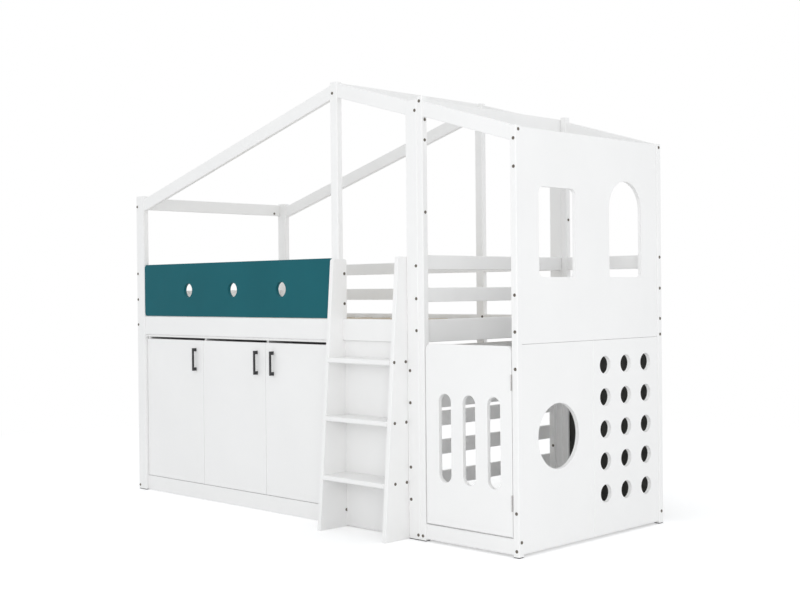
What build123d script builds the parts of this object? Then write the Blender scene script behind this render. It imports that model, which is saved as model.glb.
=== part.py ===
from build123d import *
import math
import os

os.makedirs("parts", exist_ok=True)

# House loft bed with a cabinet and a playhouse annex below and beside it.
# Millimetres. +X runs along the bed towards the annex, -Y is the front with the ladder,
# +Z is up. The origin lies on the floor under the middle of the whole bed.

# Lengths along the front, from the left post to the corner post of the annex
left_post_width = 70
left_bay = 1556
ridge_post_width = 48
ladder_bay = 445
right_post_width = 70
annex_post_width = 33
annex_bay = 493
corner_post_width = 32

# Depth of the frame and thickness of its timber
frame_depth = 1060
post_depth = 33
member_thickness = 22
post_ease = 3
member_ease = 2
foot_pad_height = 4
foot_pad_inset = 4

# Post heights over the floor
left_post_top = 1638
ridge_post_top = 2076
right_post_top = 1934
annex_post_top = 1946
corner_post_top = 1768

# Rafters: width across the slope, and how far each end's upper edge lies under the post's top
rafter_width = 64
left_rafter_low_drop = 17.5
left_rafter_high_drop = 11.5
middle_rafter_high_drop = 9
middle_rafter_low_drop = -5.5
annex_rafter_high_drop = 24
annex_rafter_low_drop = -6

# Crossbeams under the roof, from front to back
crossbeam_height = 66
left_crossbeam_drop = 7
right_crossbeam_drop = -3
ridge_beam_drop = 1
ridge_beam_set_in = 6

# Mattress frame and guard boards
rail_bottom = 868
rail_height = 100
guard_board_height = 63
lower_guard_bottom = 1046
upper_guard_bottom = 1190
bottom_rail_bottom = 8
bottom_rail_height = 62
ledger_depth = 20
ledger_height = 30
ledger_bottom = 898
slat_width = 70
slat_thickness = 17
slat_count = 15
slat_end_gap = 1
slat_first_gap = 8

# Solid guard panel over the cabinet
guard_panel_thickness = 18
guard_panel_seam = 2
guard_panel_corner = 20
guard_hole_diameter = 75
guard_hole_pitch = 386
guard_hole_shift = 13
guard_hole_height = 1109

# Ladder
ladder_reach = 148
ladder_top_reach = 52
ladder_height = 1247
stile_thickness = 22
stile_corner = 12
stile_notch_gap = 0.5
tread_thickness = 22
tread_heights = (243.5, 513, 780)
tread_nose = 6
tread_ease = 4
tread_rear_gap = 1

# Fixed panel behind the ladder
fixed_panel_thickness = 15
fixed_panel_set_in = 19
panel_top_seam = 1

# Cabinet under the left bay
cabinet_set_in = 17
cabinet_depth = 418
cabinet_top_thickness = 12
carcass_thickness = 15
cabinet_back_thickness = 4
kick_board_height = 80
shelf_height = 470
shelf_set_back = 25
door_gap = 2
door_bottom_gap = 2
door_top_gap = 12
door_thickness = 17.5
door_clearance = 0.5

# Bar pulls of the cabinet doors
pull_length = 120
pull_bar = 9
pull_foot = 17
pull_standoff = 16
pull_edge_distance = 62
pull_middle_height = 741.5
pull_ease = 1.5

# Concealed hinges of the cabinet doors
cup_diameter = 35
cup_depth = 12
cup_fit = 0.3
cup_edge_distance = 5
hinge_end_distance = 100
hinge_arm_length = 62
hinge_arm_width = 14
hinge_arm_thickness = 9
hinge_arm_reach = 18
hinge_arm_gap = 2

# Playhouse door of the annex
play_door_thickness = 18
play_door_set_in = 2
play_door_bottom = 83
play_door_top = 865
play_door_free_gap = 8
play_door_hinge_gap = 2.5
play_door_corner = 28
play_slot_width = 70
play_slot_bottom = 270
play_slot_top = 652
play_slot_pitch = 137.5
play_slot_shift = 6.75
threshold_bottom = 10
threshold_height = 66

# Butt hinges of the playhouse door
butt_height = 66
butt_heights = (222, 717)
butt_leaf_thickness = 1.1
butt_leaf_gap = 0.3
butt_knuckle_radius = 3
butt_pin_radius = 1.2
butt_pin_clearance = 0.3
butt_knuckle_gap = 0.4

# End wall of the annex
wall_thickness = 18
panel_ease = 1.5
wall_set_in = 3.5
wall_seam = 0.5
wall_waist = 872
wall_top_drop = 5
wall_lower_bottom = 12
wall_split = 522
window_corner = 25
square_window_start = 151
square_window_width = 252
window_sill = 1148
square_window_height = 377
arch_window_start = 650
arch_window_width = 250
arch_sill_corner = 14
arch_window_height = 430
round_window_start = 275
round_window_height = 477
round_window_diameter = 279
vent_diameter = 80
vent_columns = 3
vent_rows = 5
vent_front_margin = 89
vent_back_margin = 103
vent_pitch_up = 141.8
vent_lowest = 193

# Black board that closes the back of the annex under the rail
blackboard_thickness = 10

# Slatted partition under the right end of the bed
partition_slat_height = 66
partition_slat_thickness = 18
partition_slat_tops = (848, 706, 630, 548, 418, 276, 134)
partition_bolts = (744, 602, 318, 176)
cleat_width = 30
cleat_depth = 18
cleat_set_in = 2
cleat_bottom = 100
cleat_top = 860

# Bolt heads, and where they sit on the boards they hold
bolt_head_diameter = 16
bolt_head_proud = 2
bolt_head_side_count = 12
bolt_rise = 15
rail_bolt_rise = 53
bolt_drop = 12
annex_bolt_drop = 22
corner_bolt_drop = 17

# Places worked out from the sizes above
overall_length = (left_post_width + left_bay + ridge_post_width + ladder_bay + right_post_width
                  + annex_post_width + annex_bay + corner_post_width)
left_end = -overall_length / 2
left_bay_start = left_end + left_post_width
ridge_start = left_bay_start + left_bay
ladder_bay_start = ridge_start + ridge_post_width
right_post_start = ladder_bay_start + ladder_bay
annex_start = right_post_start + right_post_width
annex_bay_start = annex_start + annex_post_width
corner_start = annex_bay_start + annex_bay
right_end = corner_start + corner_post_width

front = (ladder_reach - frame_depth - bolt_head_proud) / 2
back = front + frame_depth
inner_front = front + post_depth
inner_back = back - post_depth
member_set_in = (post_depth - member_thickness) / 2
member_middle_front = front + post_depth / 2
member_middle_back = back - post_depth / 2
inside_depth = inner_back - inner_front
side_middle = (inner_front + inner_back) / 2
left_crossbeam_bottom = left_post_top - left_crossbeam_drop - crossbeam_height
right_crossbeam_bottom = right_post_top - right_crossbeam_drop - crossbeam_height
ridge_beam_bottom = ridge_post_top - ridge_beam_drop - crossbeam_height

rail_top = rail_bottom + rail_height
upper_guard_top = upper_guard_bottom + guard_board_height
guard_bottoms = (lower_guard_bottom, upper_guard_bottom)
bed_bays = ((left_bay_start, ridge_start), (ladder_bay_start, right_post_start))
left_member_middle = left_end + member_thickness / 2
right_member_middle = annex_start - member_thickness / 2
annex_member_middle = annex_start + annex_post_width / 2


def eased_rectangle(width, height, ease):
    """A rectangle with its four corners planed off, the section of every eased board."""
    with BuildSketch() as section:
        Rectangle(width, height)
        chamfer(section.vertices(), ease)
    return section.sketch


# Ten posts, five along the front and five along the back
posts = (
    ("left_post", left_end, left_post_width, left_post_top),
    ("ridge_post", ridge_start, ridge_post_width, ridge_post_top),
    ("right_post", right_post_start, right_post_width, right_post_top),
    ("annex_inner_post", annex_start, annex_post_width, annex_post_top),
    ("annex_corner_post", corner_start, corner_post_width, corner_post_top),
)
for name, start, width, top in posts:
    for side, row in (("front", member_middle_front), ("back", member_middle_back)):
        with BuildPart() as post:
            with BuildSketch(Plane.XY.offset(foot_pad_height)):
                with Locations((start + width / 2, row)):
                    add(eased_rectangle(width, post_depth, post_ease))
            extrude(amount=top - foot_pad_height)
            chamfer(post.faces().sort_by(Axis.Z)[-1].edges(), post_ease / 2)
        post.part.label = name + "_" + side
        export_step(post.part, "parts/" + post.part.label + ".step")

# Black pads under the posts
with BuildPart() as foot_pads:
    for name, start, width, top in posts:
        for row in (member_middle_front, member_middle_back):
            with BuildSketch():
                with Locations((start + width / 2, row)):
                    Rectangle(width - foot_pad_inset, post_depth - foot_pad_inset)
            extrude(amount=foot_pad_height)
foot_pads.part.label = "foot_pads"
export_step(foot_pads.part, "parts/foot_pads.step")

# Sloping rafters between the post heads, a front and a back one of each
rafters = (
    ("rafters_left", left_bay_start, left_bay, left_post_top - left_rafter_low_drop,
     ridge_post_top - left_rafter_high_drop),
    ("rafters_middle", ladder_bay_start, ladder_bay, ridge_post_top - middle_rafter_high_drop,
     right_post_top - middle_rafter_low_drop),
    ("rafters_annex", annex_bay_start, annex_bay, annex_post_top - annex_rafter_high_drop,
     corner_post_top - annex_rafter_low_drop),
)
for name, start, span, start_top, end_top in rafters:
    upright_width = rafter_width * math.hypot(span, end_top - start_top) / span
    with BuildPart() as rafter:
        for row in (member_middle_front, member_middle_back):
            with BuildSketch(Plane.XZ.offset(-row)):
                with BuildLine():
                    Polyline(
                        (start, start_top),
                        (start + span, end_top),
                        (start + span, end_top - upright_width),
                        (start, start_top - upright_width),
                        close=True,
                    )
                make_face()
            extrude(amount=member_thickness / 2, both=True)
        chamfer(rafter.edges().filter_by(lambda edge: edge.length > span), member_ease)
    rafter.part.label = name
    export_step(rafter.part, "parts/" + name + ".step")

# Beams from front to back under the roof
ridge_beam_middle = ridge_start + ridge_beam_set_in + member_thickness / 2
beams = (
    ("ridge_beam", ((ridge_beam_middle, ridge_beam_bottom),)),
    ("crossbeams", ((left_member_middle, left_crossbeam_bottom),
                    (right_member_middle, right_crossbeam_bottom))),
)
for name, places in beams:
    with BuildPart() as beam:
        for middle, bottom in places:
            with BuildSketch(Plane.XZ.offset(-inner_back)):
                with Locations((middle, bottom + crossbeam_height / 2)):
                    add(eased_rectangle(member_thickness, crossbeam_height, member_ease))
            extrude(amount=inside_depth)
    beam.part.label = name
    export_step(beam.part, "parts/" + name + ".step")

# Side rails of the mattress frame
side_rails = (
    ("side_rails_front", member_middle_front),
    ("side_rails_back", member_middle_back),
)
for name, row in side_rails:
    with BuildPart() as rail:
        for start, end in bed_bays:
            with BuildSketch(Plane.YZ.offset(start)):
                with Locations((row, rail_bottom + rail_height / 2)):
                    add(eased_rectangle(member_thickness, rail_height, member_ease))
            extrude(amount=end - start)
    rail.part.label = name
    export_step(rail.part, "parts/" + name + ".step")

# End rails of the mattress frame, with the floor rails and the guard boards over them
end_boards = (
    ("end_rails", (left_member_middle, right_member_middle), (rail_bottom,), rail_height),
    ("end_guard_boards", (left_member_middle, right_member_middle), guard_bottoms,
     guard_board_height),
    ("end_floor_rails", (left_member_middle, right_member_middle, annex_member_middle),
     (bottom_rail_bottom,), bottom_rail_height),
)
for name, middles, bottoms, height in end_boards:
    with BuildPart() as board:
        for middle in middles:
            for bottom in bottoms:
                with BuildSketch(Plane.XZ.offset(-inner_back)):
                    with Locations((middle, bottom + height / 2)):
                        add(eased_rectangle(member_thickness, height, member_ease))
                extrude(amount=inside_depth)
    board.part.label = name
    export_step(board.part, "parts/" + name + ".step")

# Boards along the back, over the bed and over the annex
guard_rows = [(bottom, guard_board_height) for bottom in guard_bottoms]
annex_rows = [(rail_bottom, rail_height), (bottom_rail_bottom, bottom_rail_height)]
back_boards = (
    ("back_guard_boards", bed_bays, guard_rows),
    ("annex_back_boards", ((annex_bay_start, corner_start),), guard_rows + annex_rows),
)
for name, bays, rows in back_boards:
    with BuildPart() as board:
        for start, end in bays:
            for bottom, height in rows:
                with BuildSketch(Plane.YZ.offset(start)):
                    with Locations((member_middle_back, bottom + height / 2)):
                        add(eased_rectangle(member_thickness, height, member_ease))
                extrude(amount=end - start)
    board.part.label = name
    export_step(board.part, "parts/" + name + ".step")

# Ledgers on the inner faces of the side rails
ledger_rows = (
    front + member_set_in + member_thickness + ledger_depth / 2,
    back - member_set_in - member_thickness - ledger_depth / 2,
)
with BuildPart() as slat_ledgers:
    for start, end in bed_bays:
        with BuildSketch(Plane.YZ.offset(start)):
            for row in ledger_rows:
                with Locations((row, ledger_bottom + ledger_height / 2)):
                    Rectangle(ledger_depth, ledger_height)
        extrude(amount=end - start)
slat_ledgers.part.label = "slat_ledgers"
export_step(slat_ledgers.part, "parts/slat_ledgers.step")

# Slats that carry the mattress
slats_start = left_end + member_thickness + slat_first_gap
slats_end = annex_start - member_thickness - slat_first_gap
slat_pitch = (slats_end - slats_start - slat_width) / (slat_count - 1)
slat_bottom = ledger_bottom + ledger_height
with BuildPart() as deck_slats:
    with BuildSketch(Plane.XZ.offset(-inner_back + slat_end_gap)):
        with Locations(((slats_start + slats_end) / 2, slat_bottom + slat_thickness / 2)):
            with GridLocations(slat_pitch, 0, slat_count, 1):
                add(eased_rectangle(slat_width, slat_thickness, member_ease))
    extrude(amount=inside_depth - 2 * slat_end_gap)
deck_slats.part.label = "deck_slats"
export_step(deck_slats.part, "parts/deck_slats.step")

# Guard panel with three round holes, over the front rail of the left bay
guard_panel_bottom = rail_top + guard_panel_seam
guard_panel_height = upper_guard_top - guard_panel_bottom
guard_panel_back = front + member_set_in + guard_panel_thickness
with BuildPart() as guard_panel:
    with BuildSketch(Plane.XZ.offset(-guard_panel_back)):
        with Locations((left_bay_start + left_bay / 2, guard_panel_bottom + guard_panel_height / 2)):
            RectangleRounded(left_bay, guard_panel_height, guard_panel_corner)
        with Locations((left_bay_start + left_bay / 2 + guard_hole_shift, guard_hole_height)):
            with GridLocations(guard_hole_pitch, 0, 3, 1):
                Circle(guard_hole_diameter / 2, mode=Mode.SUBTRACT)
    extrude(amount=guard_panel_thickness)
guard_panel.part.label = "guard_panel"
export_step(guard_panel.part, "parts/guard_panel.step")

# Ladder stiles: a slanted front edge, a straight rear edge and a notch over the front rail
stile_lean = (ladder_reach - ladder_top_reach) / ladder_height
stile_starts = (ladder_bay_start, right_post_start - stile_thickness)
notch_depth = post_depth - member_set_in + stile_notch_gap
notch_height = rail_height + 2 * stile_notch_gap
for name, start in zip(("ladder_stile_left", "ladder_stile_right"), stile_starts):
    with BuildPart() as stile:
        with BuildSketch(Plane.YZ.offset(start)):
            with BuildLine():
                Polyline(
                    (inner_front, 0),
                    (inner_front, ladder_height),
                    (front - ladder_top_reach, ladder_height),
                    (front - ladder_reach, 0),
                    close=True,
                )
            make_face()
            fillet(vertices().group_by(Axis.Y)[-1], stile_corner)
            with Locations((inner_front, rail_bottom - stile_notch_gap)):
                Rectangle(notch_depth, notch_height, align=(Align.MAX, Align.MIN), mode=Mode.SUBTRACT)
        extrude(amount=stile_thickness)
        chamfer(stile.edges().filter_by(lambda edge: edge.length > rail_bottom), member_ease)
    stile.part.label = name
    export_step(stile.part, "parts/" + name + ".step")

# Ladder treads between the stiles, each with a rounded nose past their slanted front edge
tread_rear = front + fixed_panel_set_in - tread_rear_gap
treads_start = stile_starts[0] + stile_thickness
treads_length = stile_starts[1] - treads_start
with BuildPart() as ladder_treads:
    for height in tread_heights:
        nose = front - ladder_reach + stile_lean * height - tread_nose
        with BuildSketch(Plane.YZ.offset(treads_start)):
            with Locations(((nose + tread_rear) / 2, height)):
                add(eased_rectangle(tread_rear - nose, tread_thickness, tread_ease))
        extrude(amount=treads_length)
ladder_treads.part.label = "ladder_treads"
export_step(ladder_treads.part, "parts/ladder_treads.step")

# Fixed panel behind the ladder
fixed_panel_height = rail_bottom - panel_top_seam - foot_pad_height
with BuildPart() as fixed_panel:
    with BuildSketch(Plane.XZ.offset(-(front + fixed_panel_set_in + fixed_panel_thickness))):
        with Locations((treads_start + treads_length / 2, foot_pad_height + fixed_panel_height / 2)):
            Rectangle(treads_length, fixed_panel_height)
    extrude(amount=fixed_panel_thickness)
fixed_panel.part.label = "fixed_front_panel"
export_step(fixed_panel.part, "parts/fixed_front_panel.step")

# Cabinet carcass
cabinet_front = front + cabinet_set_in
cabinet_back = cabinet_front + cabinet_depth
carcass_front = cabinet_front + door_thickness + door_clearance
cabinet_top_bottom = rail_bottom - panel_top_seam - cabinet_top_thickness
cabinet_middle = left_bay_start + left_bay / 2
door_width = (left_bay - 4 * door_gap) / 3
door_pitch = door_width + door_gap
cabinet_floor_top = kick_board_height + carcass_thickness
carcass_depth = cabinet_back - carcass_front
with BuildPart() as cabinet_top:
    with BuildSketch(Plane.XY.offset(cabinet_top_bottom)):
        with Locations((cabinet_middle, (cabinet_front + cabinet_back) / 2)):
            Rectangle(left_bay, cabinet_depth)
    extrude(amount=cabinet_top_thickness)
cabinet_top.part.label = "cabinet_top"
export_step(cabinet_top.part, "parts/cabinet_top.step")

with BuildPart() as cabinet_sides:
    with BuildSketch():
        with Locations((cabinet_middle, (carcass_front + cabinet_back) / 2)):
            with GridLocations(left_bay - carcass_thickness, 0, 2, 1):
                Rectangle(carcass_thickness, carcass_depth)
    extrude(amount=cabinet_top_bottom)
cabinet_sides.part.label = "cabinet_sides"
export_step(cabinet_sides.part, "parts/cabinet_sides.step")

partition_depth = carcass_depth - cabinet_back_thickness
with BuildPart() as cabinet_partitions:
    with BuildSketch(Plane.XY.offset(cabinet_floor_top)):
        with Locations((cabinet_middle, carcass_front + partition_depth / 2)):
            with GridLocations(door_pitch, 0, 2, 1):
                Rectangle(carcass_thickness, partition_depth)
    extrude(amount=cabinet_top_bottom - cabinet_floor_top)
cabinet_partitions.part.label = "cabinet_partitions"
export_step(cabinet_partitions.part, "parts/cabinet_partitions.step")

with BuildPart() as cabinet_floor:
    with BuildSketch(Plane.XY.offset(kick_board_height)):
        with Locations((cabinet_middle, (carcass_front + cabinet_back) / 2)):
            Rectangle(left_bay - 2 * carcass_thickness, carcass_depth)
    extrude(amount=carcass_thickness)
cabinet_floor.part.label = "cabinet_floor"
export_step(cabinet_floor.part, "parts/cabinet_floor.step")

with BuildPart() as cabinet_kick_board:
    with BuildSketch(Plane.XZ.offset(-carcass_front)):
        with Locations((cabinet_middle, kick_board_height / 2)):
            Rectangle(left_bay, kick_board_height)
    extrude(amount=door_thickness + door_clearance)
cabinet_kick_board.part.label = "cabinet_kick_board"
export_step(cabinet_kick_board.part, "parts/cabinet_kick_board.step")

with BuildPart() as cabinet_back_panel:
    with BuildSketch(Plane.XZ.offset(-cabinet_back)):
        with Locations((cabinet_middle, (cabinet_floor_top + cabinet_top_bottom) / 2)):
            Rectangle(left_bay - 2 * carcass_thickness, cabinet_top_bottom - cabinet_floor_top)
    extrude(amount=cabinet_back_thickness)
cabinet_back_panel.part.label = "cabinet_back_panel"
export_step(cabinet_back_panel.part, "parts/cabinet_back_panel.step")

# One shelf in each of the three cabinet bays
cabinet_inner_faces = (
    left_bay_start + carcass_thickness,
    cabinet_middle - door_pitch / 2 - carcass_thickness / 2,
    cabinet_middle - door_pitch / 2 + carcass_thickness / 2,
    cabinet_middle + door_pitch / 2 - carcass_thickness / 2,
    cabinet_middle + door_pitch / 2 + carcass_thickness / 2,
    ridge_start - carcass_thickness,
)
shelf_depth = partition_depth - shelf_set_back
with BuildPart() as cabinet_shelves:
    for start, end in zip(cabinet_inner_faces[::2], cabinet_inner_faces[1::2]):
        with BuildSketch(Plane.XY.offset(shelf_height)):
            with Locations(((start + end) / 2, carcass_front + shelf_set_back + shelf_depth / 2)):
                Rectangle(end - start, shelf_depth)
        extrude(amount=carcass_thickness)
cabinet_shelves.part.label = "cabinet_shelves"
export_step(cabinet_shelves.part, "parts/cabinet_shelves.step")

# Cabinet doors with their hinge cups and bar pulls. The first two are hinged on the left.
door_bottom = kick_board_height + door_bottom_gap
door_top = cabinet_top_bottom - door_top_gap
door_height = door_top - door_bottom
door_back = cabinet_front + door_thickness
hinge_heights = (door_bottom + hinge_end_distance, door_top - hinge_end_distance)
cup_shift = cup_edge_distance + cup_diameter / 2
for number, hinge_side in ((1, -1), (2, -1), (3, 1)):
    door_middle = cabinet_middle + (number - 2) * door_pitch
    hinge_edge = door_middle + hinge_side * door_width / 2
    cup_middle = hinge_edge - hinge_side * cup_shift
    pull_middle = door_middle - hinge_side * (door_width / 2 - pull_edge_distance)

    with BuildPart() as door:
        with BuildSketch(Plane.XZ.offset(-door_back)):
            with Locations((door_middle, (door_bottom + door_top) / 2)):
                Rectangle(door_width, door_height)
        extrude(amount=door_thickness)
        chamfer(door.faces().sort_by(Axis.Y)[0].edges(), panel_ease)
        with BuildSketch(Plane.XZ.offset(-door_back)):
            for height in hinge_heights:
                with Locations((cup_middle, height)):
                    Circle(cup_diameter / 2)
        extrude(amount=cup_depth, mode=Mode.SUBTRACT)
    door.part.label = "cabinet_door_" + str(number)
    export_step(door.part, "parts/" + door.part.label + ".step")

    with BuildPart() as cups:
        with BuildSketch(Plane.XZ.offset(-door_back)):
            for height in hinge_heights:
                with Locations((cup_middle, height)):
                    Circle(cup_diameter / 2 - cup_fit)
        extrude(amount=cup_depth)
    cups.part.label = "hinge_cups_" + str(number)
    export_step(cups.part, "parts/" + cups.part.label + ".step")

    with BuildPart() as pull:
        with BuildSketch(Plane.YZ.offset(pull_middle - pull_bar / 2)):
            with Locations((cabinet_front, pull_middle_height)):
                Rectangle(pull_standoff + pull_bar, pull_length, align=(Align.MAX, Align.CENTER))
                Rectangle(pull_standoff, pull_length - 2 * pull_foot,
                          align=(Align.MAX, Align.CENTER), mode=Mode.SUBTRACT)
        extrude(amount=pull_bar)
        chamfer(pull.faces().sort_by(Axis.Y)[0].edges(), pull_ease)
    pull.part.label = "door_pull_" + str(number)
    export_step(pull.part, "parts/" + pull.part.label + ".step")

# Hinge arms on the carcass, each reaching over the mouth of its cup
hinge_walls = (
    (cabinet_inner_faces[0], 1),
    (cabinet_inner_faces[2], 1),
    (cabinet_inner_faces[5], -1),
)
with BuildPart() as hinge_arms:
    for wall, inward in hinge_walls:
        for height in hinge_heights:
            arm_front = carcass_front + hinge_arm_gap
            with BuildSketch(Plane.XY.offset(height - hinge_arm_width / 2)):
                with BuildLine():
                    Polyline(
                        (wall, arm_front + hinge_arm_length),
                        (wall, arm_front + hinge_arm_length / 2),
                        (wall + inward * hinge_arm_thickness / 2, arm_front),
                        (wall + inward * hinge_arm_reach, arm_front),
                        (wall + inward * hinge_arm_reach, arm_front + hinge_arm_thickness / 2),
                        (wall + inward * hinge_arm_thickness, arm_front + hinge_arm_thickness),
                        (wall + inward * hinge_arm_thickness, arm_front + hinge_arm_length),
                        close=True,
                    )
                make_face()
            extrude(amount=hinge_arm_width)
hinge_arms.part.label = "hinge_arms"
export_step(hinge_arms.part, "parts/hinge_arms.step")

# Playhouse door with three upright slots and rounded upper corners
play_door_start = annex_bay_start + play_door_free_gap
play_door_end = corner_start - play_door_hinge_gap
play_door_width = play_door_end - play_door_start
play_door_middle = (play_door_start + play_door_end) / 2
play_door_height = play_door_top - play_door_bottom
play_door_front = front + play_door_set_in
play_slot_height = play_slot_top - play_slot_bottom
with BuildPart() as playhouse_door:
    with BuildSketch(Plane.XZ.offset(-(play_door_front + play_door_thickness))):
        with Locations((play_door_middle, play_door_bottom + play_door_height / 2)):
            Rectangle(play_door_width, play_door_height)
        fillet(vertices().group_by(Axis.Y)[-1], play_door_corner)
        with Locations((play_door_middle + play_slot_shift, play_slot_bottom + play_slot_height / 2)):
            with GridLocations(play_slot_pitch, 0, 3, 1):
                SlotOverall(play_slot_height, play_slot_width, rotation=90, mode=Mode.SUBTRACT)
    extrude(amount=play_door_thickness)
playhouse_door.part.label = "playhouse_door"
export_step(playhouse_door.part, "parts/playhouse_door.step")

# Butt hinges between the playhouse door and the corner post. The outer knuckles and the pin
# belong to the post's leaf, the middle knuckle to the door's leaf.
hinge_axis_x = corner_start - play_door_hinge_gap / 2
hinge_axis_y = front - butt_knuckle_radius
knuckle_height = butt_height / 3
leaf_front = front + butt_leaf_gap
leaf_depth = play_door_front + play_door_thickness - leaf_front
post_leaf_middle = corner_start - butt_leaf_thickness / 2
door_leaf_middle = play_door_end + butt_leaf_thickness / 2
outer_knuckles = (-knuckle_height, knuckle_height)
butt_leaves = (
    ("butt_hinge_post_leaves", post_leaf_middle, outer_knuckles, knuckle_height, True),
    ("butt_hinge_door_leaves", door_leaf_middle, (0,), knuckle_height - 2 * butt_knuckle_gap, False),
)
for name, leaf_middle, shifts, height, has_pin in butt_leaves:
    with BuildPart() as leaves:
        for middle in butt_heights:
            with BuildSketch(Plane.XY.offset(middle - butt_height / 2)):
                with Locations((leaf_middle, leaf_front + leaf_depth / 2)):
                    Rectangle(butt_leaf_thickness, leaf_depth)
            extrude(amount=butt_height)
            for shift in shifts:
                with BuildSketch(Plane.XY.offset(middle + shift - height / 2)):
                    with Locations((leaf_middle, (hinge_axis_y + leaf_front) / 2)):
                        Rectangle(butt_leaf_thickness, leaf_front - hinge_axis_y)
                    with Locations((hinge_axis_x, hinge_axis_y)):
                        Circle(butt_knuckle_radius)
                        if not has_pin:
                            Circle(butt_pin_radius + butt_pin_clearance, mode=Mode.SUBTRACT)
                extrude(amount=height)
            if has_pin:
                with BuildSketch(Plane.XY.offset(middle - butt_height / 2)):
                    with Locations((hinge_axis_x, hinge_axis_y)):
                        Circle(butt_pin_radius)
                extrude(amount=butt_height)
    leaves.part.label = name
    export_step(leaves.part, "parts/" + name + ".step")

# Threshold under the playhouse door
with BuildPart() as annex_threshold:
    with BuildSketch(Plane.YZ.offset(annex_bay_start)):
        with Locations((member_middle_front, threshold_bottom + threshold_height / 2)):
            add(eased_rectangle(member_thickness, threshold_height, member_ease))
    extrude(amount=annex_bay)
annex_threshold.part.label = "annex_threshold"
export_step(annex_threshold.part, "parts/annex_threshold.step")

# End wall of the annex: an upper board with two windows over two lower boards
wall_face = right_end - wall_set_in
wall_plane = Plane.YZ.offset(wall_face - wall_thickness)
wall_top = corner_post_top - wall_top_drop
upper_bottom = wall_waist + wall_seam
with BuildPart() as end_wall_upper:
    with BuildSketch(wall_plane):
        with Locations((side_middle, (upper_bottom + wall_top) / 2)):
            Rectangle(inside_depth, wall_top - upper_bottom)
        with Locations((front + square_window_start + square_window_width / 2,
                        window_sill + square_window_height / 2)):
            RectangleRounded(square_window_width, square_window_height, window_corner,
                             mode=Mode.SUBTRACT)
    extrude(amount=wall_thickness)
    with BuildSketch(wall_plane):
        arch_radius = arch_window_width / 2
        arch_start = front + arch_window_start
        arch_end = arch_start + arch_window_width
        arch_spring = window_sill + arch_window_height - arch_radius
        with BuildLine():
            Polyline((arch_start, arch_spring), (arch_start, window_sill), (arch_end, window_sill),
                     (arch_end, arch_spring))
            ThreePointArc((arch_end, arch_spring), (arch_start + arch_radius, arch_spring + arch_radius),
                          (arch_start, arch_spring))
        make_face()
        fillet(vertices().group_by(Axis.Y)[0], arch_sill_corner)
    extrude(amount=wall_thickness, mode=Mode.SUBTRACT)
    outline = end_wall_upper.faces().sort_by(Axis.X)[-1].outer_wire().edges()
    chamfer(outline, panel_ease)
end_wall_upper.part.label = "end_wall_upper"
export_step(end_wall_upper.part, "parts/end_wall_upper.step")

lower_top = wall_waist - wall_seam
lower_height = lower_top - wall_lower_bottom
split_line = front + wall_split
with BuildPart() as end_wall_front:
    with BuildSketch(wall_plane):
        with Locations(((inner_front + split_line - wall_seam / 2) / 2,
                        wall_lower_bottom + lower_height / 2)):
            Rectangle(split_line - wall_seam / 2 - inner_front, lower_height)
        with Locations((front + round_window_start, round_window_height)):
            Circle(round_window_diameter / 2, mode=Mode.SUBTRACT)
    extrude(amount=wall_thickness)
    outline = end_wall_front.faces().sort_by(Axis.X)[-1].outer_wire().edges()
    chamfer(outline, panel_ease)
end_wall_front.part.label = "end_wall_front"
export_step(end_wall_front.part, "parts/end_wall_front.step")

vent_first = split_line + vent_front_margin
vent_pitch_across = (inner_back - vent_back_margin - vent_first) / (vent_columns - 1)
with BuildPart() as end_wall_back:
    with BuildSketch(wall_plane):
        with Locations(((split_line + wall_seam / 2 + inner_back) / 2,
                        wall_lower_bottom + lower_height / 2)):
            Rectangle(inner_back - split_line - wall_seam / 2, lower_height)
        for column in range(vent_columns):
            for row in range(vent_rows):
                with Locations((vent_first + column * vent_pitch_across,
                                vent_lowest + row * vent_pitch_up)):
                    Circle(vent_diameter / 2, mode=Mode.SUBTRACT)
    extrude(amount=wall_thickness)
    outline = end_wall_back.faces().sort_by(Axis.X)[-1].outer_wire().edges()
    chamfer(outline, panel_ease)
end_wall_back.part.label = "end_wall_back"
export_step(end_wall_back.part, "parts/end_wall_back.step")

# Black board at the back of the annex, between the floor rail and the mattress rail
floor_rail_top = bottom_rail_bottom + bottom_rail_height
with BuildPart() as blackboard:
    with BuildSketch(Plane.YZ.offset(annex_bay_start)):
        with Locations((member_middle_back, (floor_rail_top + rail_bottom) / 2)):
            Rectangle(blackboard_thickness, rail_bottom - floor_rail_top)
    extrude(amount=annex_bay)
blackboard.part.label = "blackboard"
export_step(blackboard.part, "parts/blackboard.step")

# Slatted partition under the right end of the bed, on two upright cleats
cleat_start = right_post_start + cleat_set_in
with BuildPart() as partition_cleats:
    with BuildSketch(Plane.XY.offset(cleat_bottom)):
        with Locations((cleat_start + cleat_width / 2, side_middle)):
            with GridLocations(0, inside_depth - cleat_depth, 1, 2):
                Rectangle(cleat_width, cleat_depth)
    extrude(amount=cleat_top - cleat_bottom)
partition_cleats.part.label = "partition_cleats"
export_step(partition_cleats.part, "parts/partition_cleats.step")

with BuildPart() as partition_slats:
    for slat_top in partition_slat_tops:
        slat_middle = slat_top - partition_slat_height / 2
        with BuildSketch(Plane.XZ.offset(-inner_back + slat_end_gap)):
            with Locations((cleat_start - partition_slat_thickness / 2, slat_middle)):
                add(eased_rectangle(partition_slat_thickness, partition_slat_height, member_ease))
        extrude(amount=inside_depth - 2 * slat_end_gap)
partition_slats.part.label = "partition_slats"
export_step(partition_slats.part, "parts/partition_slats.step")

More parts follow.
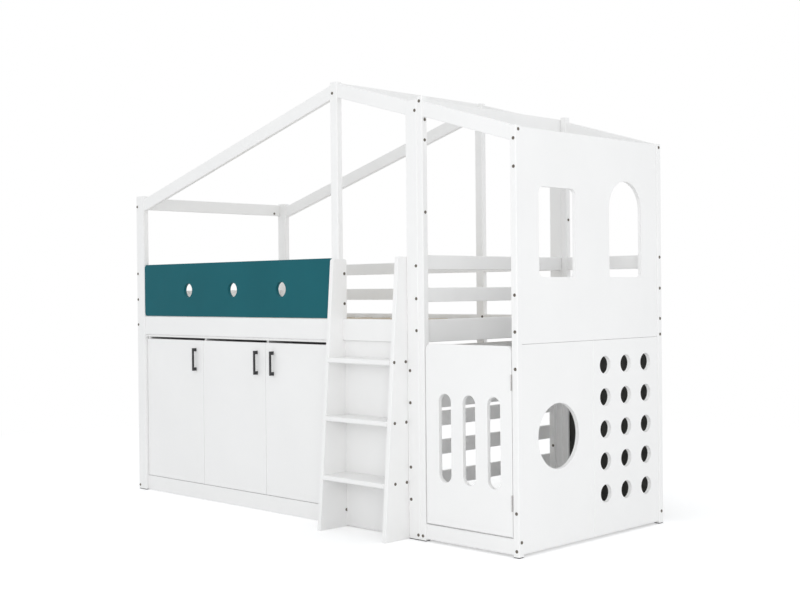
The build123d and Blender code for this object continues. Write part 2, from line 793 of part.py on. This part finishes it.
# Bolt heads on the front and back faces of the posts
low_boards = (bottom_rail_bottom, lower_guard_bottom, upper_guard_bottom)
end_member_bolts = [bottom + bolt_rise for bottom in low_boards] + [rail_bottom + rail_bolt_rise]
wall_bolts = (28, 182, 772, 924, 1074, 1599, 1714)
annex_post_head_bolt = annex_post_top - annex_bolt_drop
face_bolts = [(left_member_middle, height) for height in end_member_bolts]
face_bolts += [(left_member_middle, left_crossbeam_bottom + bolt_rise)]
face_bolts += [(ridge_beam_middle, ridge_beam_bottom + bolt_rise)]
face_bolts += [(right_member_middle, height) for height in end_member_bolts]
face_bolts += [(right_member_middle, right_crossbeam_bottom + bolt_rise)]
face_bolts += [(cleat_start + cleat_width / 2, height) for height in partition_bolts]
face_bolts += [(annex_member_middle, bottom_rail_bottom + bolt_rise)]
face_bolts += [(annex_member_middle, annex_post_head_bolt)]
face_bolts += [(wall_face - wall_thickness / 2, height) for height in wall_bolts]
with BuildPart() as face_bolt_heads:
    for outer, amount in ((front, bolt_head_proud), (back, -bolt_head_proud)):
        with BuildSketch(Plane.XZ.offset(-outer)):
            with Locations(*face_bolts):
                RegularPolygon(bolt_head_diameter / 2, bolt_head_side_count)
        extrude(amount=amount)
face_bolt_heads.part.label = "face_bolt_heads"
export_step(face_bolt_heads.part, "parts/face_bolt_heads.step")

# Bolt heads on the end faces of the left posts, the corner posts and the annex posts
long_board_bolts = [rail_top - bolt_drop, rail_bottom + bolt_rise,
                    upper_guard_top - bolt_drop,
                    lower_guard_bottom + guard_board_height - bolt_drop,
                    floor_rail_top - bolt_drop]
corner_rafter_bolt = corner_post_top - corner_bolt_drop
left_rafter_bolt = left_post_top - left_rafter_low_drop - rafter_width / 2
annex_link_bolts = (1439, 1754)
front_corner_bolts = [(member_middle_front, corner_rafter_bolt),
                      (member_middle_front, threshold_bottom + threshold_height - bolt_drop)]
back_corner_bolts = [(member_middle_back, height) for height in long_board_bolts + [corner_rafter_bolt]]
annex_post_bolts = [(row, height) for row in (member_middle_front, member_middle_back)
                    for height in annex_link_bolts]
left_end_bolts = [(member_middle_front, rail_top - bolt_drop),
                  (member_middle_front, rail_bottom + bolt_rise),
                  (member_middle_front, guard_hole_height),
                  (member_middle_front, left_rafter_bolt),
                  (member_middle_back, left_rafter_bolt)]
left_end_bolts += [(member_middle_back, height) for height in long_board_bolts[:4]]
end_bolts = (
    (right_end, front_corner_bolts + back_corner_bolts, bolt_head_proud),
    (annex_bay_start, annex_post_bolts, bolt_head_proud),
    (left_end, left_end_bolts, -bolt_head_proud),
)
with BuildPart() as end_bolt_heads:
    for face, places, amount in end_bolts:
        with BuildSketch(Plane.YZ.offset(face)):
            with Locations(*places):
                RegularPolygon(bolt_head_diameter / 2, bolt_head_side_count)
        extrude(amount=amount)
end_bolt_heads.part.label = "end_bolt_heads"
export_step(end_bolt_heads.part, "parts/end_bolt_heads.step")
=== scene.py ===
import math

import bmesh
import bpy
import numpy as np
from mathutils import Matrix, Vector


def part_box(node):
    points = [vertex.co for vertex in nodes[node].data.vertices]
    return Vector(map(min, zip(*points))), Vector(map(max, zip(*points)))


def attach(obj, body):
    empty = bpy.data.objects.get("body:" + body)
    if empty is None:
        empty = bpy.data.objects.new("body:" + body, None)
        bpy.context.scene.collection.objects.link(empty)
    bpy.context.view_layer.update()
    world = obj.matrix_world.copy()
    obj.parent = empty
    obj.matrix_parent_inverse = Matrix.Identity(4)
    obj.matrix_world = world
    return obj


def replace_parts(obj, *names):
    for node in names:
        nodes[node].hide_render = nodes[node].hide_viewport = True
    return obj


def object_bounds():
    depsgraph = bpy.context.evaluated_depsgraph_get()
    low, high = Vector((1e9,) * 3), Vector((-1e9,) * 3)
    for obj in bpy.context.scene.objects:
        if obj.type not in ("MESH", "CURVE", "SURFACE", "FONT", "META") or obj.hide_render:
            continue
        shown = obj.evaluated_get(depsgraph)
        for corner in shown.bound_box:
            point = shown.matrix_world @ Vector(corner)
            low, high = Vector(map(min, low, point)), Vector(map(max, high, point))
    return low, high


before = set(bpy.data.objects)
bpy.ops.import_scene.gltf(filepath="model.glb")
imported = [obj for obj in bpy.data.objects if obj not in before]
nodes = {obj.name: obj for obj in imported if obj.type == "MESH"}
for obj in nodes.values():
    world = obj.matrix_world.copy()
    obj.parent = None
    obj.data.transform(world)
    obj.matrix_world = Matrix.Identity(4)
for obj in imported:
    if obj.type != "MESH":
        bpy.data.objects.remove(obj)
cad_low, cad_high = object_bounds()

# Lacquers, bare wood and metals of the bed, as linear colours
WHITE = (0.904, 0.901, 0.895)
TEAL = (0.012, 0.119, 0.145)
SLAT_PALE = (0.64, 0.55, 0.43)
SLAT_DARK = (0.46, 0.38, 0.28)
BOARD_BLACK = (0.018, 0.018, 0.016)
PULL_BLACK = (0.020, 0.020, 0.022)
BRONZE = (0.19, 0.17, 0.145)
NICKEL = (0.62, 0.61, 0.60)
PAD_BLACK = (0.022, 0.022, 0.022)
FIBRE_SHADE = (0.86, 0.86, 0.86)
PLAIN_WHITE = (1, 1, 1)

# How rough each finish is, and how far the lacquers' roughness strays from patch to patch
WHITE_ROUGHNESS = 0.38
TEAL_ROUGHNESS = 0.5
SLAT_ROUGHNESS = 0.62
BOARD_ROUGHNESS = 0.75
PULL_ROUGHNESS = 0.42
PAD_ROUGHNESS = 0.7
BRONZE_ROUGHNESS = 0.45
NICKEL_ROUGHNESS = 0.28
GLOSSIER_BY = 0.05
DULLER_BY = 0.07

# Bumps of the surface textures, each with its strength and its height in metres. The lacquers
# set the strength of their fibres themselves.
LACQUER_FIBRE_HEIGHT = 0.0004
LACQUER_PEEL = (0.10, 0.0002)
SLAT_BANDS = (0.2, 0.0004)
SLAT_FIBRES = (0.35, 0.0003)
BOARD_TOOTH = (0.3, 0.0002)
BLACK_PEBBLE = (0.35, 0.0001)
METAL_SCRATCHES = (0.15, 0.00005)

# How much lighter or darker the clouds and pebbles are than the colour itself, and how strongly
# the fibres of bare wood darken its bands
BOARD_CLOUD_SHADE = 1.7
PEBBLE_SHADE = 1.4
METAL_CLOUD_SHADE = 0.8
SLAT_FIBRE_SHARE = 0.8

# Stretch of a noise that is alike in every direction
EVEN = (1, 1, 1)

# Points of a CAD mesh that lie closer than this are one corner
WELD_DISTANCE = 1e-5

# The camera: where it stands, how it is turned, its lens and how far it sees
CAMERA_PLACE = Vector((4.6026, -4.3888, 1.098))
CAMERA_YAW = math.radians(44.757)
CAMERA_PITCH = math.radians(-0.44)
CAMERA_ROLL = math.radians(-0.557)
CAMERA_LENS = 56.1
CAMERA_SENSOR = 36
CAMERA_REACH = 100

# Studio light and floor
SKY_COLOUR = (0.975, 0.988, 1.0)
SKY_STRENGTH = 0.90
FLOOR_SIZE = 40
FLOOR_LEVEL = -0.0005
FLOOR_GREY = 0.88
FLOOR_LIFT = 0.27
FLOOR_FADE_START = 2.2
FLOOR_FADE_END = 4.5

# Soft lamps: each one's place, the point it faces, its side in metres and its power in watts
SOFTBOXES = (
    ("fill_softbox", (4.9, -4.8, 1.7), (0.2, 0, 0.9), 2.5, 66),
    ("end_softbox", (6.0, 1.5, 2.6), (1.2, 0, 0.9), 3.5, 8),
    ("front_softbox", (-2.0, -6.5, 3.0), (0, 0, 0.8), 4.0, 8),
)

# Bolt heads, as high as the plain ones of the CAD, and the screws of the slats and the hinges
HEAD_RISE = 0.002
BOLT_HEAD = {"radius": 0.0069, "rise": HEAD_RISE, "socket": 0.0032, "depth": 0.0016, "sides": 36}
SCREW_HEAD = {"radius": 0.0034, "rise": 0.0007, "socket": 0.0013, "depth": 0.0006, "sides": 24}

# Rings that shape a head. Over the dome each has its share of the head's radius and of its rise,
# and in the socket its share of the socket's radius and of its depth.
DOME_RINGS = ((1, 0), (1, 0.45), (0.97, 0.72), (0.88, 0.92), (0.68, 1))
SOCKET_RINGS = ((1.12, 0), (1, 0.1), (1, 1), (0.05, 1))

# Screws of the slats and of the concealed hinges, and the flange plates of the hinge cups
SLAT_SCREW_INSET = 0.011
ARM_SCREW_INSETS = (0.011, 0.030)
FLANGE_LENGTH = 0.062
FLANGE_WIDTH = 0.014
FLANGE_THICKNESS = 0.0006
FLANGE_SCREW_REACH = 0.024
FLANGE_END_CORNERS = 12

# Bolts on faces that the photo shows: the right stile's outer face at each tread, the left
# stile's inner face, and single ones on the front inner post of the annex, the left crossbeam,
# the back ridge post and the back cleat. Each is a place in the frame and the way it faces.
TREAD_BOLT_FACE = 0.7455
TREAD_BOLT_ROWS = (-0.539, -0.467)
TREAD_BOLT_HEIGHTS = (0.250, 0.516, 0.783)
STILE_BOLT_FACE = 0.3225
STILE_BOLT_ROW = -0.440
STILE_BOLT_HEIGHTS = (0.077, 1.039, 1.179)
SINGLE_BOLTS = (
    ((0.8485, -0.439, 1.843), (1, 0, 0)),
    ((-1.3515, 0.524, 1.578), (1, 0, 0)),
    ((0.2935, 0.570, 0.956), (0, -1, 0)),
    ((0.7685, 0.552, 0.318), (0, -1, 0)),
)


def new_material(name):
    """A fresh node material, its tree and its shader."""
    material = bpy.data.materials.new(name)
    material.use_nodes = True
    tree = material.node_tree
    return material, tree, tree.nodes["Principled BSDF"]


def object_noise(tree, stretch, scale, detail, roughness=0.5):
    """Noise on the object's own coordinates, scaled by a mapping before it is drawn."""
    place = tree.nodes.new("ShaderNodeTexCoord")
    mapping = tree.nodes.new("ShaderNodeMapping")
    mapping.inputs["Scale"].default_value = stretch
    noise = tree.nodes.new("ShaderNodeTexNoise")
    noise.inputs["Scale"].default_value = scale
    noise.inputs["Detail"].default_value = detail
    noise.inputs["Roughness"].default_value = roughness
    tree.links.new(place.outputs["Object"], mapping.inputs["Vector"])
    tree.links.new(mapping.outputs["Vector"], noise.inputs["Vector"])
    return noise


def ramp(tree, source, low, high, start=0.3, end=0.7):
    """The colour output of a ramp from low to high over part of a noise."""
    node = tree.nodes.new("ShaderNodeValToRGB")
    node.color_ramp.elements[0].position = start
    node.color_ramp.elements[0].color = (*low, 1)
    node.color_ramp.elements[1].position = end
    node.color_ramp.elements[1].color = (*high, 1)
    tree.links.new(source.outputs["Fac"], node.inputs["Fac"])
    return node.outputs["Color"]


def bump_chain(tree, shader, layers):
    """Bumps laid over each other; each layer is a noise, its strength and its height in metres."""
    previous = None
    for noise, strength, distance in layers:
        bump = tree.nodes.new("ShaderNodeBump")
        bump.inputs["Strength"].default_value = strength
        bump.inputs["Distance"].default_value = distance
        tree.links.new(noise.outputs["Fac"], bump.inputs["Height"])
        if previous is not None:
            tree.links.new(previous.outputs["Normal"], bump.inputs["Normal"])
        previous = bump
    tree.links.new(previous.outputs["Normal"], shader.inputs["Normal"])


def grain_stretch(axis, along, across):
    """A mapping scale that is small along the grain axis and large across it."""
    return tuple(along if letter == axis else across for letter in "XYZ")


def scaled(colour, factor):
    """A colour made darker or lighter, and no lighter than white."""
    return tuple(min(1, value * factor) for value in colour)


def lacquer(name, colour, grain_axis, roughness=WHITE_ROUGHNESS, grain=0.25, shade=0.012, shine=0.3):
    """Sprayed satin lacquer: a faint grain telegraphing through, orange peel and slight clouding."""
    material, tree, shader = new_material(name)
    cloud = object_noise(tree, EVEN, scale=3, detail=3)
    tint = ramp(tree, cloud, scaled(colour, 1 - shade), scaled(colour, 1 + shade))
    tree.links.new(tint, shader.inputs["Base Color"])
    stretch = grain_stretch(grain_axis, along=1.5, across=60)
    fibre = object_noise(tree, stretch, scale=4, detail=6, roughness=0.6)
    peel = object_noise(tree, EVEN, scale=420, detail=2)
    bump_chain(tree, shader, ((fibre, grain, LACQUER_FIBRE_HEIGHT), (peel, *LACQUER_PEEL)))
    gloss = object_noise(tree, EVEN, scale=14, detail=3)
    sheen = tree.nodes.new("ShaderNodeMapRange")
    sheen.inputs["To Min"].default_value = roughness - GLOSSIER_BY
    sheen.inputs["To Max"].default_value = roughness + DULLER_BY
    tree.links.new(gloss.outputs["Fac"], sheen.inputs["Value"])
    tree.links.new(sheen.outputs["Result"], shader.inputs["Roughness"])
    shader.inputs["Specular IOR Level"].default_value = shine
    return material


def bare_wood(name, pale, dark, grain_axis):
    """Planed softwood: long bands of early and late wood with fine fibres over them."""
    material, tree, shader = new_material(name)
    band_stretch = grain_stretch(grain_axis, along=0.6, across=22)
    fibre_stretch = grain_stretch(grain_axis, along=3, across=260)
    bands = object_noise(tree, band_stretch, scale=2.2, detail=4, roughness=0.55)
    fibres = object_noise(tree, fibre_stretch, scale=3, detail=6, roughness=0.65)
    mix = tree.nodes.new("ShaderNodeMix")
    mix.data_type = "RGBA"
    mix.blend_type = "MULTIPLY"
    mix.inputs["Factor"].default_value = SLAT_FIBRE_SHARE
    tree.links.new(ramp(tree, bands, pale, dark, start=0.35, end=0.68), mix.inputs["A"])
    tree.links.new(ramp(tree, fibres, FIBRE_SHADE, PLAIN_WHITE), mix.inputs["B"])
    tree.links.new(mix.outputs["Result"], shader.inputs["Base Color"])
    bump_chain(tree, shader, ((bands, *SLAT_BANDS), (fibres, *SLAT_FIBRES)))
    shader.inputs["Roughness"].default_value = SLAT_ROUGHNESS
    return material


def matt_board(name, colour):
    """A matt black writing surface with a fine tooth and faint rubbed clouds."""
    material, tree, shader = new_material(name)
    cloud = object_noise(tree, EVEN, scale=5, detail=4)
    tint = ramp(tree, cloud, colour, scaled(colour, BOARD_CLOUD_SHADE))
    tree.links.new(tint, shader.inputs["Base Color"])
    tooth = object_noise(tree, EVEN, scale=900, detail=2)
    bump_chain(tree, shader, ((tooth, *BOARD_TOOTH),))
    shader.inputs["Roughness"].default_value = BOARD_ROUGHNESS
    return material


def pebbled_black(name, colour, roughness):
    """Black with a fine pebble, for the pulls' powder coat and for the rubber of the pads."""
    material, tree, shader = new_material(name)
    pebble = object_noise(tree, EVEN, scale=1400, detail=2)
    tint = ramp(tree, pebble, colour, scaled(colour, PEBBLE_SHADE))
    tree.links.new(tint, shader.inputs["Base Color"])
    bump_chain(tree, shader, ((pebble, *BLACK_PEBBLE),))
    shader.inputs["Roughness"].default_value = roughness
    return material


def plated_metal(name, colour, roughness):
    """Plated steel with a faintly uneven polish."""
    material, tree, shader = new_material(name)
    cloud = object_noise(tree, EVEN, scale=160, detail=3)
    tint = ramp(tree, cloud, scaled(colour, METAL_CLOUD_SHADE), colour)
    tree.links.new(tint, shader.inputs["Base Color"])
    stretch = grain_stretch("X", along=40, across=400)
    scratches = object_noise(tree, stretch, scale=6, detail=3)
    bump_chain(tree, shader, ((scratches, *METAL_SCRATCHES),))
    shader.inputs["Metallic"].default_value = 1
    shader.inputs["Roughness"].default_value = roughness
    return material


white_by_axis = {axis: lacquer("white_lacquer_grain_" + axis.lower(), WHITE, axis) for axis in "XYZ"}
teal_lacquer = lacquer("teal_lacquer", TEAL, "X", TEAL_ROUGHNESS, grain=0.12, shade=0.05, shine=0.08)
slat_wood = bare_wood("bare_slat_wood", SLAT_PALE, SLAT_DARK, "Y")
ledger_wood = bare_wood("bare_ledger_wood", SLAT_PALE, SLAT_DARK, "X")
writing_board = matt_board("black_writing_board", BOARD_BLACK)
pull_finish = pebbled_black("black_powder_coat", PULL_BLACK, PULL_ROUGHNESS)
bronze_steel = plated_metal("bronze_plated_steel", BRONZE, BRONZE_ROUGHNESS)
nickel_steel = plated_metal("nickel_plated_steel", NICKEL, NICKEL_ROUGHNESS)
pad_rubber = pebbled_black("black_pad_rubber", PAD_BLACK, PAD_ROUGHNESS)

# Nodes that aren't painted white, by the start of their names
FINISHES = (
    ("guard_panel", teal_lacquer),
    ("deck_slats", slat_wood),
    ("slat_ledgers", ledger_wood),
    ("blackboard", writing_board),
    ("foot_pads", pad_rubber),
    ("hinge_", nickel_steel),
    ("butt_hinge_", nickel_steel),
    ("face_bolt_heads", bronze_steel),
    ("end_bolt_heads", bronze_steel),
    ("door_pull", pull_finish),
)

# The way the grain runs in the white pieces, by the start of their names; in the rest it is X
GRAIN = (
    ("left_post", "Z"), ("ridge_post", "Z"), ("right_post", "Z"), ("annex_inner_post", "Z"),
    ("annex_corner_post", "Z"), ("ladder_stile", "Z"), ("partition_cleats", "Z"),
    ("end_wall", "Z"), ("cabinet_sides", "Z"), ("cabinet_partitions", "Z"),
    ("playhouse_door", "Z"), ("cabinet_door", "Z"), ("fixed_front_panel", "Z"),
    ("ridge_beam", "Y"), ("crossbeams", "Y"), ("end_rails", "Y"), ("end_guard_boards", "Y"),
    ("end_floor_rails", "Y"), ("partition_slats", "Y"),
)


def finish_of(name):
    """The material of a CAD node: its own finish, or white lacquer along its grain."""
    for start, finish in FINISHES:
        if name.startswith(start):
            return finish
    for start, axis in GRAIN:
        if name.startswith(start):
            return white_by_axis[axis]
    return white_by_axis["X"]


for name, node in nodes.items():
    node.data.materials.clear()
    node.data.materials.append(finish_of(name))


def solid_centres(name):
    """The middle of each separate solid of a CAD node, found on a welded copy of its mesh."""
    welded = bmesh.new()
    welded.from_mesh(nodes[name].data)
    bmesh.ops.remove_doubles(welded, verts=welded.verts, dist=WELD_DISTANCE)
    centres = []
    left = set(welded.verts)
    while left:
        group = []
        stack = [left.pop()]
        while stack:
            vertex = stack.pop()
            group.append(vertex.co.copy())
            for edge in vertex.link_edges:
                other = edge.other_vert(vertex)
                if other in left:
                    left.remove(other)
                    stack.append(other)
        low = Vector(map(min, zip(*group)))
        high = Vector(map(max, zip(*group)))
        centres.append((low + high) / 2)
    welded.free()
    return centres


def grid_faces(rows, columns, first):
    """Quads of a grid whose columns close on themselves, counted from the vertex first."""
    row, column = np.meshgrid(np.arange(rows - 1), np.arange(columns), indexing="ij")
    across = (column + 1) % columns
    corners = (row * columns + column, row * columns + across,
               (row + 1) * columns + across, (row + 1) * columns + column)
    return np.stack(corners, axis=-1).reshape(-1, 4) + first


def mesh_piece(name, points, faces, material, body, smooth=True):
    """A new piece from arrays of points and faces, riding on a body."""
    mesh = bpy.data.meshes.new(name)
    mesh.from_pydata(points.tolist(), [], [tuple(int(i) for i in face) for face in faces])
    mesh.validate()
    mesh.materials.append(material)
    piece = bpy.data.objects.new(name, mesh)
    bpy.context.scene.collection.objects.link(piece)
    if smooth:
        mesh.shade_smooth()
    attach(piece, body)
    return piece


def socket_head(radius, rise, socket, depth, sides):
    """Points of a low round head about +Z, ring by ring, and the number of rings.

    The rings of the dome are circles. Those of the hex socket follow a hexagon, whose corners
    lie at the socket's radius and whose flats lie nearer by the cosine of half a side's angle.
    """
    angle = np.linspace(0, 2 * math.pi, sides, endpoint=False)
    half_side = math.pi / 6
    from_flat = (angle + half_side) % (2 * half_side) - half_side
    hexagon = math.cos(half_side) / np.cos(from_flat)
    rings = [(np.full(sides, radius * share), rise * height) for share, height in DOME_RINGS]
    rings += [(socket * share * hexagon, rise - depth * sunk) for share, sunk in SOCKET_RINGS]
    points = [np.column_stack((reach * np.cos(angle), reach * np.sin(angle), np.full(sides, level)))
              for reach, level in rings]
    return np.concatenate(points), len(rings)


def turned(points, normal):
    """Points about +Z turned to stand along a normal."""
    turn = np.array(Vector((0, 0, 1)).rotation_difference(Vector(normal)).to_matrix())
    return points @ turn.T


def head_group(name, places, body, material, shape):
    """One mesh of equal socket heads; each place is a foot point and the way the head faces."""
    head, rows = socket_head(**shape)
    points = []
    faces = []
    for foot, normal in places:
        first = len(points) * len(head)
        points.append(turned(head, normal) + np.array(foot))
        faces.append(grid_faces(rows, shape["sides"], first))
    return mesh_piece(name, np.concatenate(points), np.concatenate(faces), material, body)


def bolt_group(name, places):
    """Bronze bolt heads on the fixed frame, one for each place."""
    return head_group(name, places, "frame", bronze_steel, BOLT_HEAD)


def screw_group(name, places, body):
    """Small plated screw heads, one for each place."""
    return head_group(name, places, body, nickel_steel, SCREW_HEAD)


def heads_over(node_name, piece_name, axis):
    """Socket heads in the place of a CAD node's plain ones, facing along one axis, X or Y.

    A head faces away from the middle of the bed, so those on the annex's inner posts face into
    the annex.
    """
    number = "XY".index(axis)
    middle = (cad_low[number] + cad_high[number]) / 2
    places = []
    for centre in solid_centres(node_name):
        outwards = Vector((0, 0, 0))
        outwards[number] = 1 if centre[number] > middle else -1
        places.append((centre - outwards * HEAD_RISE / 2, outwards))
    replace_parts(bolt_group(piece_name, places), node_name)


heads_over("face_bolt_heads", "face_bolts", "Y")
heads_over("end_bolt_heads", "end_bolts", "X")

ladder_bolts = [((TREAD_BOLT_FACE, row, height), (1, 0, 0))
                for row in TREAD_BOLT_ROWS for height in TREAD_BOLT_HEIGHTS]
ladder_bolts += [((STILE_BOLT_FACE, STILE_BOLT_ROW, height), (1, 0, 0))
                 for height in STILE_BOLT_HEIGHTS]
bolt_group("ladder_bolts", ladder_bolts)
bolt_group("single_bolts", SINGLE_BOLTS)


def slat_screws():
    """A screw through both ends of every deck slat, down into the ledger."""
    low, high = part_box("deck_slats")
    ends = (low.y + SLAT_SCREW_INSET, high.y - SLAT_SCREW_INSET)
    places = [((centre.x, end, high.z), (0, 0, 1))
              for centre in solid_centres("deck_slats") for end in ends]
    screw_group("slat_screws", places, "frame")


def arm_screws():
    """Two screws through each hinge arm, from the face that looks into its cabinet bay.

    That face lies at the middle of the arm's reach. Only the arms of the third door, which are
    the ones at a positive X, look towards the left.
    """
    arm_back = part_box("hinge_arms")[1].y
    places = []
    for centre in solid_centres("hinge_arms"):
        inwards = -1 if centre.x > 0 else 1
        for inset in ARM_SCREW_INSETS:
            places.append(((centre.x, arm_back - inset, centre.z), (inwards, 0, 0)))
    screw_group("arm_screws", places, "frame")


def stadium(length, width, corners):
    """Outline of a plate with round ends: two half circles, each of so many corners, along Z."""
    angle = np.linspace(0, math.pi, corners)
    radius = width / 2
    straight = (length - width) / 2
    upper = np.column_stack((radius * np.cos(angle), straight + radius * np.sin(angle)))
    return np.concatenate((upper, -upper))


def cup_flanges(number):
    """The flange plates of one door's hinge cups with their screws, on the door's back face."""
    body = "cabinet_door_%d" % number
    door_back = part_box("hinge_cups_%d" % number)[1].y
    plate_back = door_back + FLANGE_THICKNESS
    outline = stadium(FLANGE_LENGTH, FLANGE_WIDTH, FLANGE_END_CORNERS)
    corners = len(outline)
    points = []
    faces = []
    places = []
    for centre in solid_centres("hinge_cups_%d" % number):
        first = len(points)
        for level in (door_back, plate_back):
            points += [(centre.x + x, level, centre.z + z) for x, z in outline]
        faces += grid_faces(2, corners, first).tolist()
        faces.append(tuple(range(first + corners, first + 2 * corners)))
        for reach in (-FLANGE_SCREW_REACH, FLANGE_SCREW_REACH):
            places.append(((centre.x, plate_back, centre.z + reach), (0, 1, 0)))
    mesh_piece("cup_flanges_%d" % number, np.array(points), faces, nickel_steel, body,
               smooth=False)
    screw_group("cup_screws_%d" % number, places, body)


slat_screws()
arm_screws()
for door_number in (1, 2, 3):
    cup_flanges(door_number)


def photo_camera():
    """The camera of the photo: turned by its yaw and its pitch, then rolled about its own view."""
    forward = Vector((-math.sin(CAMERA_YAW) * math.cos(CAMERA_PITCH),
                      math.cos(CAMERA_YAW) * math.cos(CAMERA_PITCH),
                      math.sin(CAMERA_PITCH)))
    level_right = Vector((math.cos(CAMERA_YAW), math.sin(CAMERA_YAW), 0))
    level_up = level_right.cross(forward)
    right = math.cos(CAMERA_ROLL) * level_right + math.sin(CAMERA_ROLL) * level_up
    up = -math.sin(CAMERA_ROLL) * level_right + math.cos(CAMERA_ROLL) * level_up
    lens = bpy.data.cameras.new("camera")
    lens.lens = CAMERA_LENS
    lens.sensor_width = CAMERA_SENSOR
    lens.clip_end = CAMERA_REACH
    camera = bpy.data.objects.new("camera", lens)
    bpy.context.scene.collection.objects.link(camera)
    turn = Matrix((right, up, -forward)).transposed()
    camera.matrix_world = Matrix.Translation(CAMERA_PLACE) @ turn.to_4x4()
    bpy.context.scene.camera = camera


def math_node(tree, operation, first, second):
    """The output of a math node over two sockets."""
    node = tree.nodes.new("ShaderNodeMath")
    node.operation = operation
    tree.links.new(first, node.inputs[0])
    tree.links.new(second, node.inputs[1])
    return node.outputs["Value"]


def background_share(tree):
    """One where a ray comes straight from the camera, a mirror or glass, and zero elsewhere."""
    path = tree.nodes.new("ShaderNodeLightPath").outputs
    seen_or_mirrored = math_node(tree, "MAXIMUM", path["Is Camera Ray"], path["Is Glossy Ray"])
    return math_node(tree, "MAXIMUM", seen_or_mirrored, path["Is Transmission Ray"])


def studio_world():
    """White studio round the bed: seen white, and lighting the bed a little less."""
    world = bpy.data.worlds.new("studio")
    bpy.context.scene.world = world
    world.use_nodes = True
    tree = world.node_tree
    light = tree.nodes["Background"]
    light.inputs["Color"].default_value = (*SKY_COLOUR, 1)
    light.inputs["Strength"].default_value = SKY_STRENGTH
    seen = tree.nodes.new("ShaderNodeBackground")
    seen.inputs["Color"].default_value = (*PLAIN_WHITE, 1)
    seen.inputs["Strength"].default_value = 1
    mix = tree.nodes.new("ShaderNodeMixShader")
    tree.links.new(background_share(tree), mix.inputs["Fac"])
    tree.links.new(light.outputs["Background"], mix.inputs[1])
    tree.links.new(seen.outputs["Background"], mix.inputs[2])
    tree.links.new(mix.outputs["Shader"], tree.nodes["World Output"].inputs["Surface"])


def floor_material():
    """Matt pale grey with a lift near the bed, which fades into plain white further out."""
    material = bpy.data.materials.new("pale_floor")
    material.use_nodes = True
    tree = material.node_tree
    tree.nodes.clear()
    place = tree.nodes.new("ShaderNodeTexCoord")
    distance = tree.nodes.new("ShaderNodeVectorMath")
    distance.operation = "LENGTH"
    tree.links.new(place.outputs["Object"], distance.inputs[0])
    fade = tree.nodes.new("ShaderNodeMapRange")
    fade.inputs["From Min"].default_value = FLOOR_FADE_START
    fade.inputs["From Max"].default_value = FLOOR_FADE_END
    tree.links.new(distance.outputs["Value"], fade.inputs["Value"])
    seen = background_share(tree)
    matt = tree.nodes.new("ShaderNodeBsdfDiffuse")
    matt.inputs["Color"].default_value = (FLOOR_GREY, FLOOR_GREY, FLOOR_GREY, 1)
    lift_strength = tree.nodes.new("ShaderNodeValue").outputs["Value"]
    lift_strength.default_value = FLOOR_LIFT
    lift = tree.nodes.new("ShaderNodeEmission")
    tree.links.new(math_node(tree, "MULTIPLY", seen, lift_strength), lift.inputs["Strength"])
    near = tree.nodes.new("ShaderNodeAddShader")
    tree.links.new(matt.outputs["BSDF"], near.inputs[0])
    tree.links.new(lift.outputs["Emission"], near.inputs[1])
    far = tree.nodes.new("ShaderNodeEmission")
    mix = tree.nodes.new("ShaderNodeMixShader")
    tree.links.new(math_node(tree, "MULTIPLY", seen, fade.outputs["Result"]), mix.inputs["Fac"])
    tree.links.new(near.outputs["Shader"], mix.inputs[1])
    tree.links.new(far.outputs["Emission"], mix.inputs[2])
    output = tree.nodes.new("ShaderNodeOutputMaterial")
    tree.links.new(mix.outputs["Shader"], output.inputs["Surface"])
    return material


def studio_floor():
    """A wide pale floor that keeps the bed's soft shadow and fades into the white behind."""
    half = FLOOR_SIZE / 2
    corners = [(-half, -half, FLOOR_LEVEL), (half, -half, FLOOR_LEVEL), (half, half, FLOOR_LEVEL),
               (-half, half, FLOOR_LEVEL)]
    mesh = bpy.data.meshes.new("studio_floor")
    mesh.from_pydata(corners, [], [(0, 1, 2, 3)])
    mesh.materials.append(floor_material())
    floor = bpy.data.objects.new("studio_floor", mesh)
    bpy.context.scene.collection.objects.link(floor)


def softbox(name, place, target, size, power):
    """A square soft lamp aimed at a point."""
    lamp = bpy.data.lights.new(name, "AREA")
    lamp.shape = "SQUARE"
    lamp.size = size
    lamp.energy = power
    holder = bpy.data.objects.new(name, lamp)
    bpy.context.scene.collection.objects.link(holder)
    holder.location = place
    aim = Vector(target) - Vector(place)
    holder.rotation_euler = aim.to_track_quat("-Z", "Y").to_euler()


photo_camera()
studio_world()
studio_floor()
for name, place, target, size, power in SOFTBOXES:
    softbox(name, place, target, size, power)
bpy.context.scene.view_settings.view_transform = "Standard"
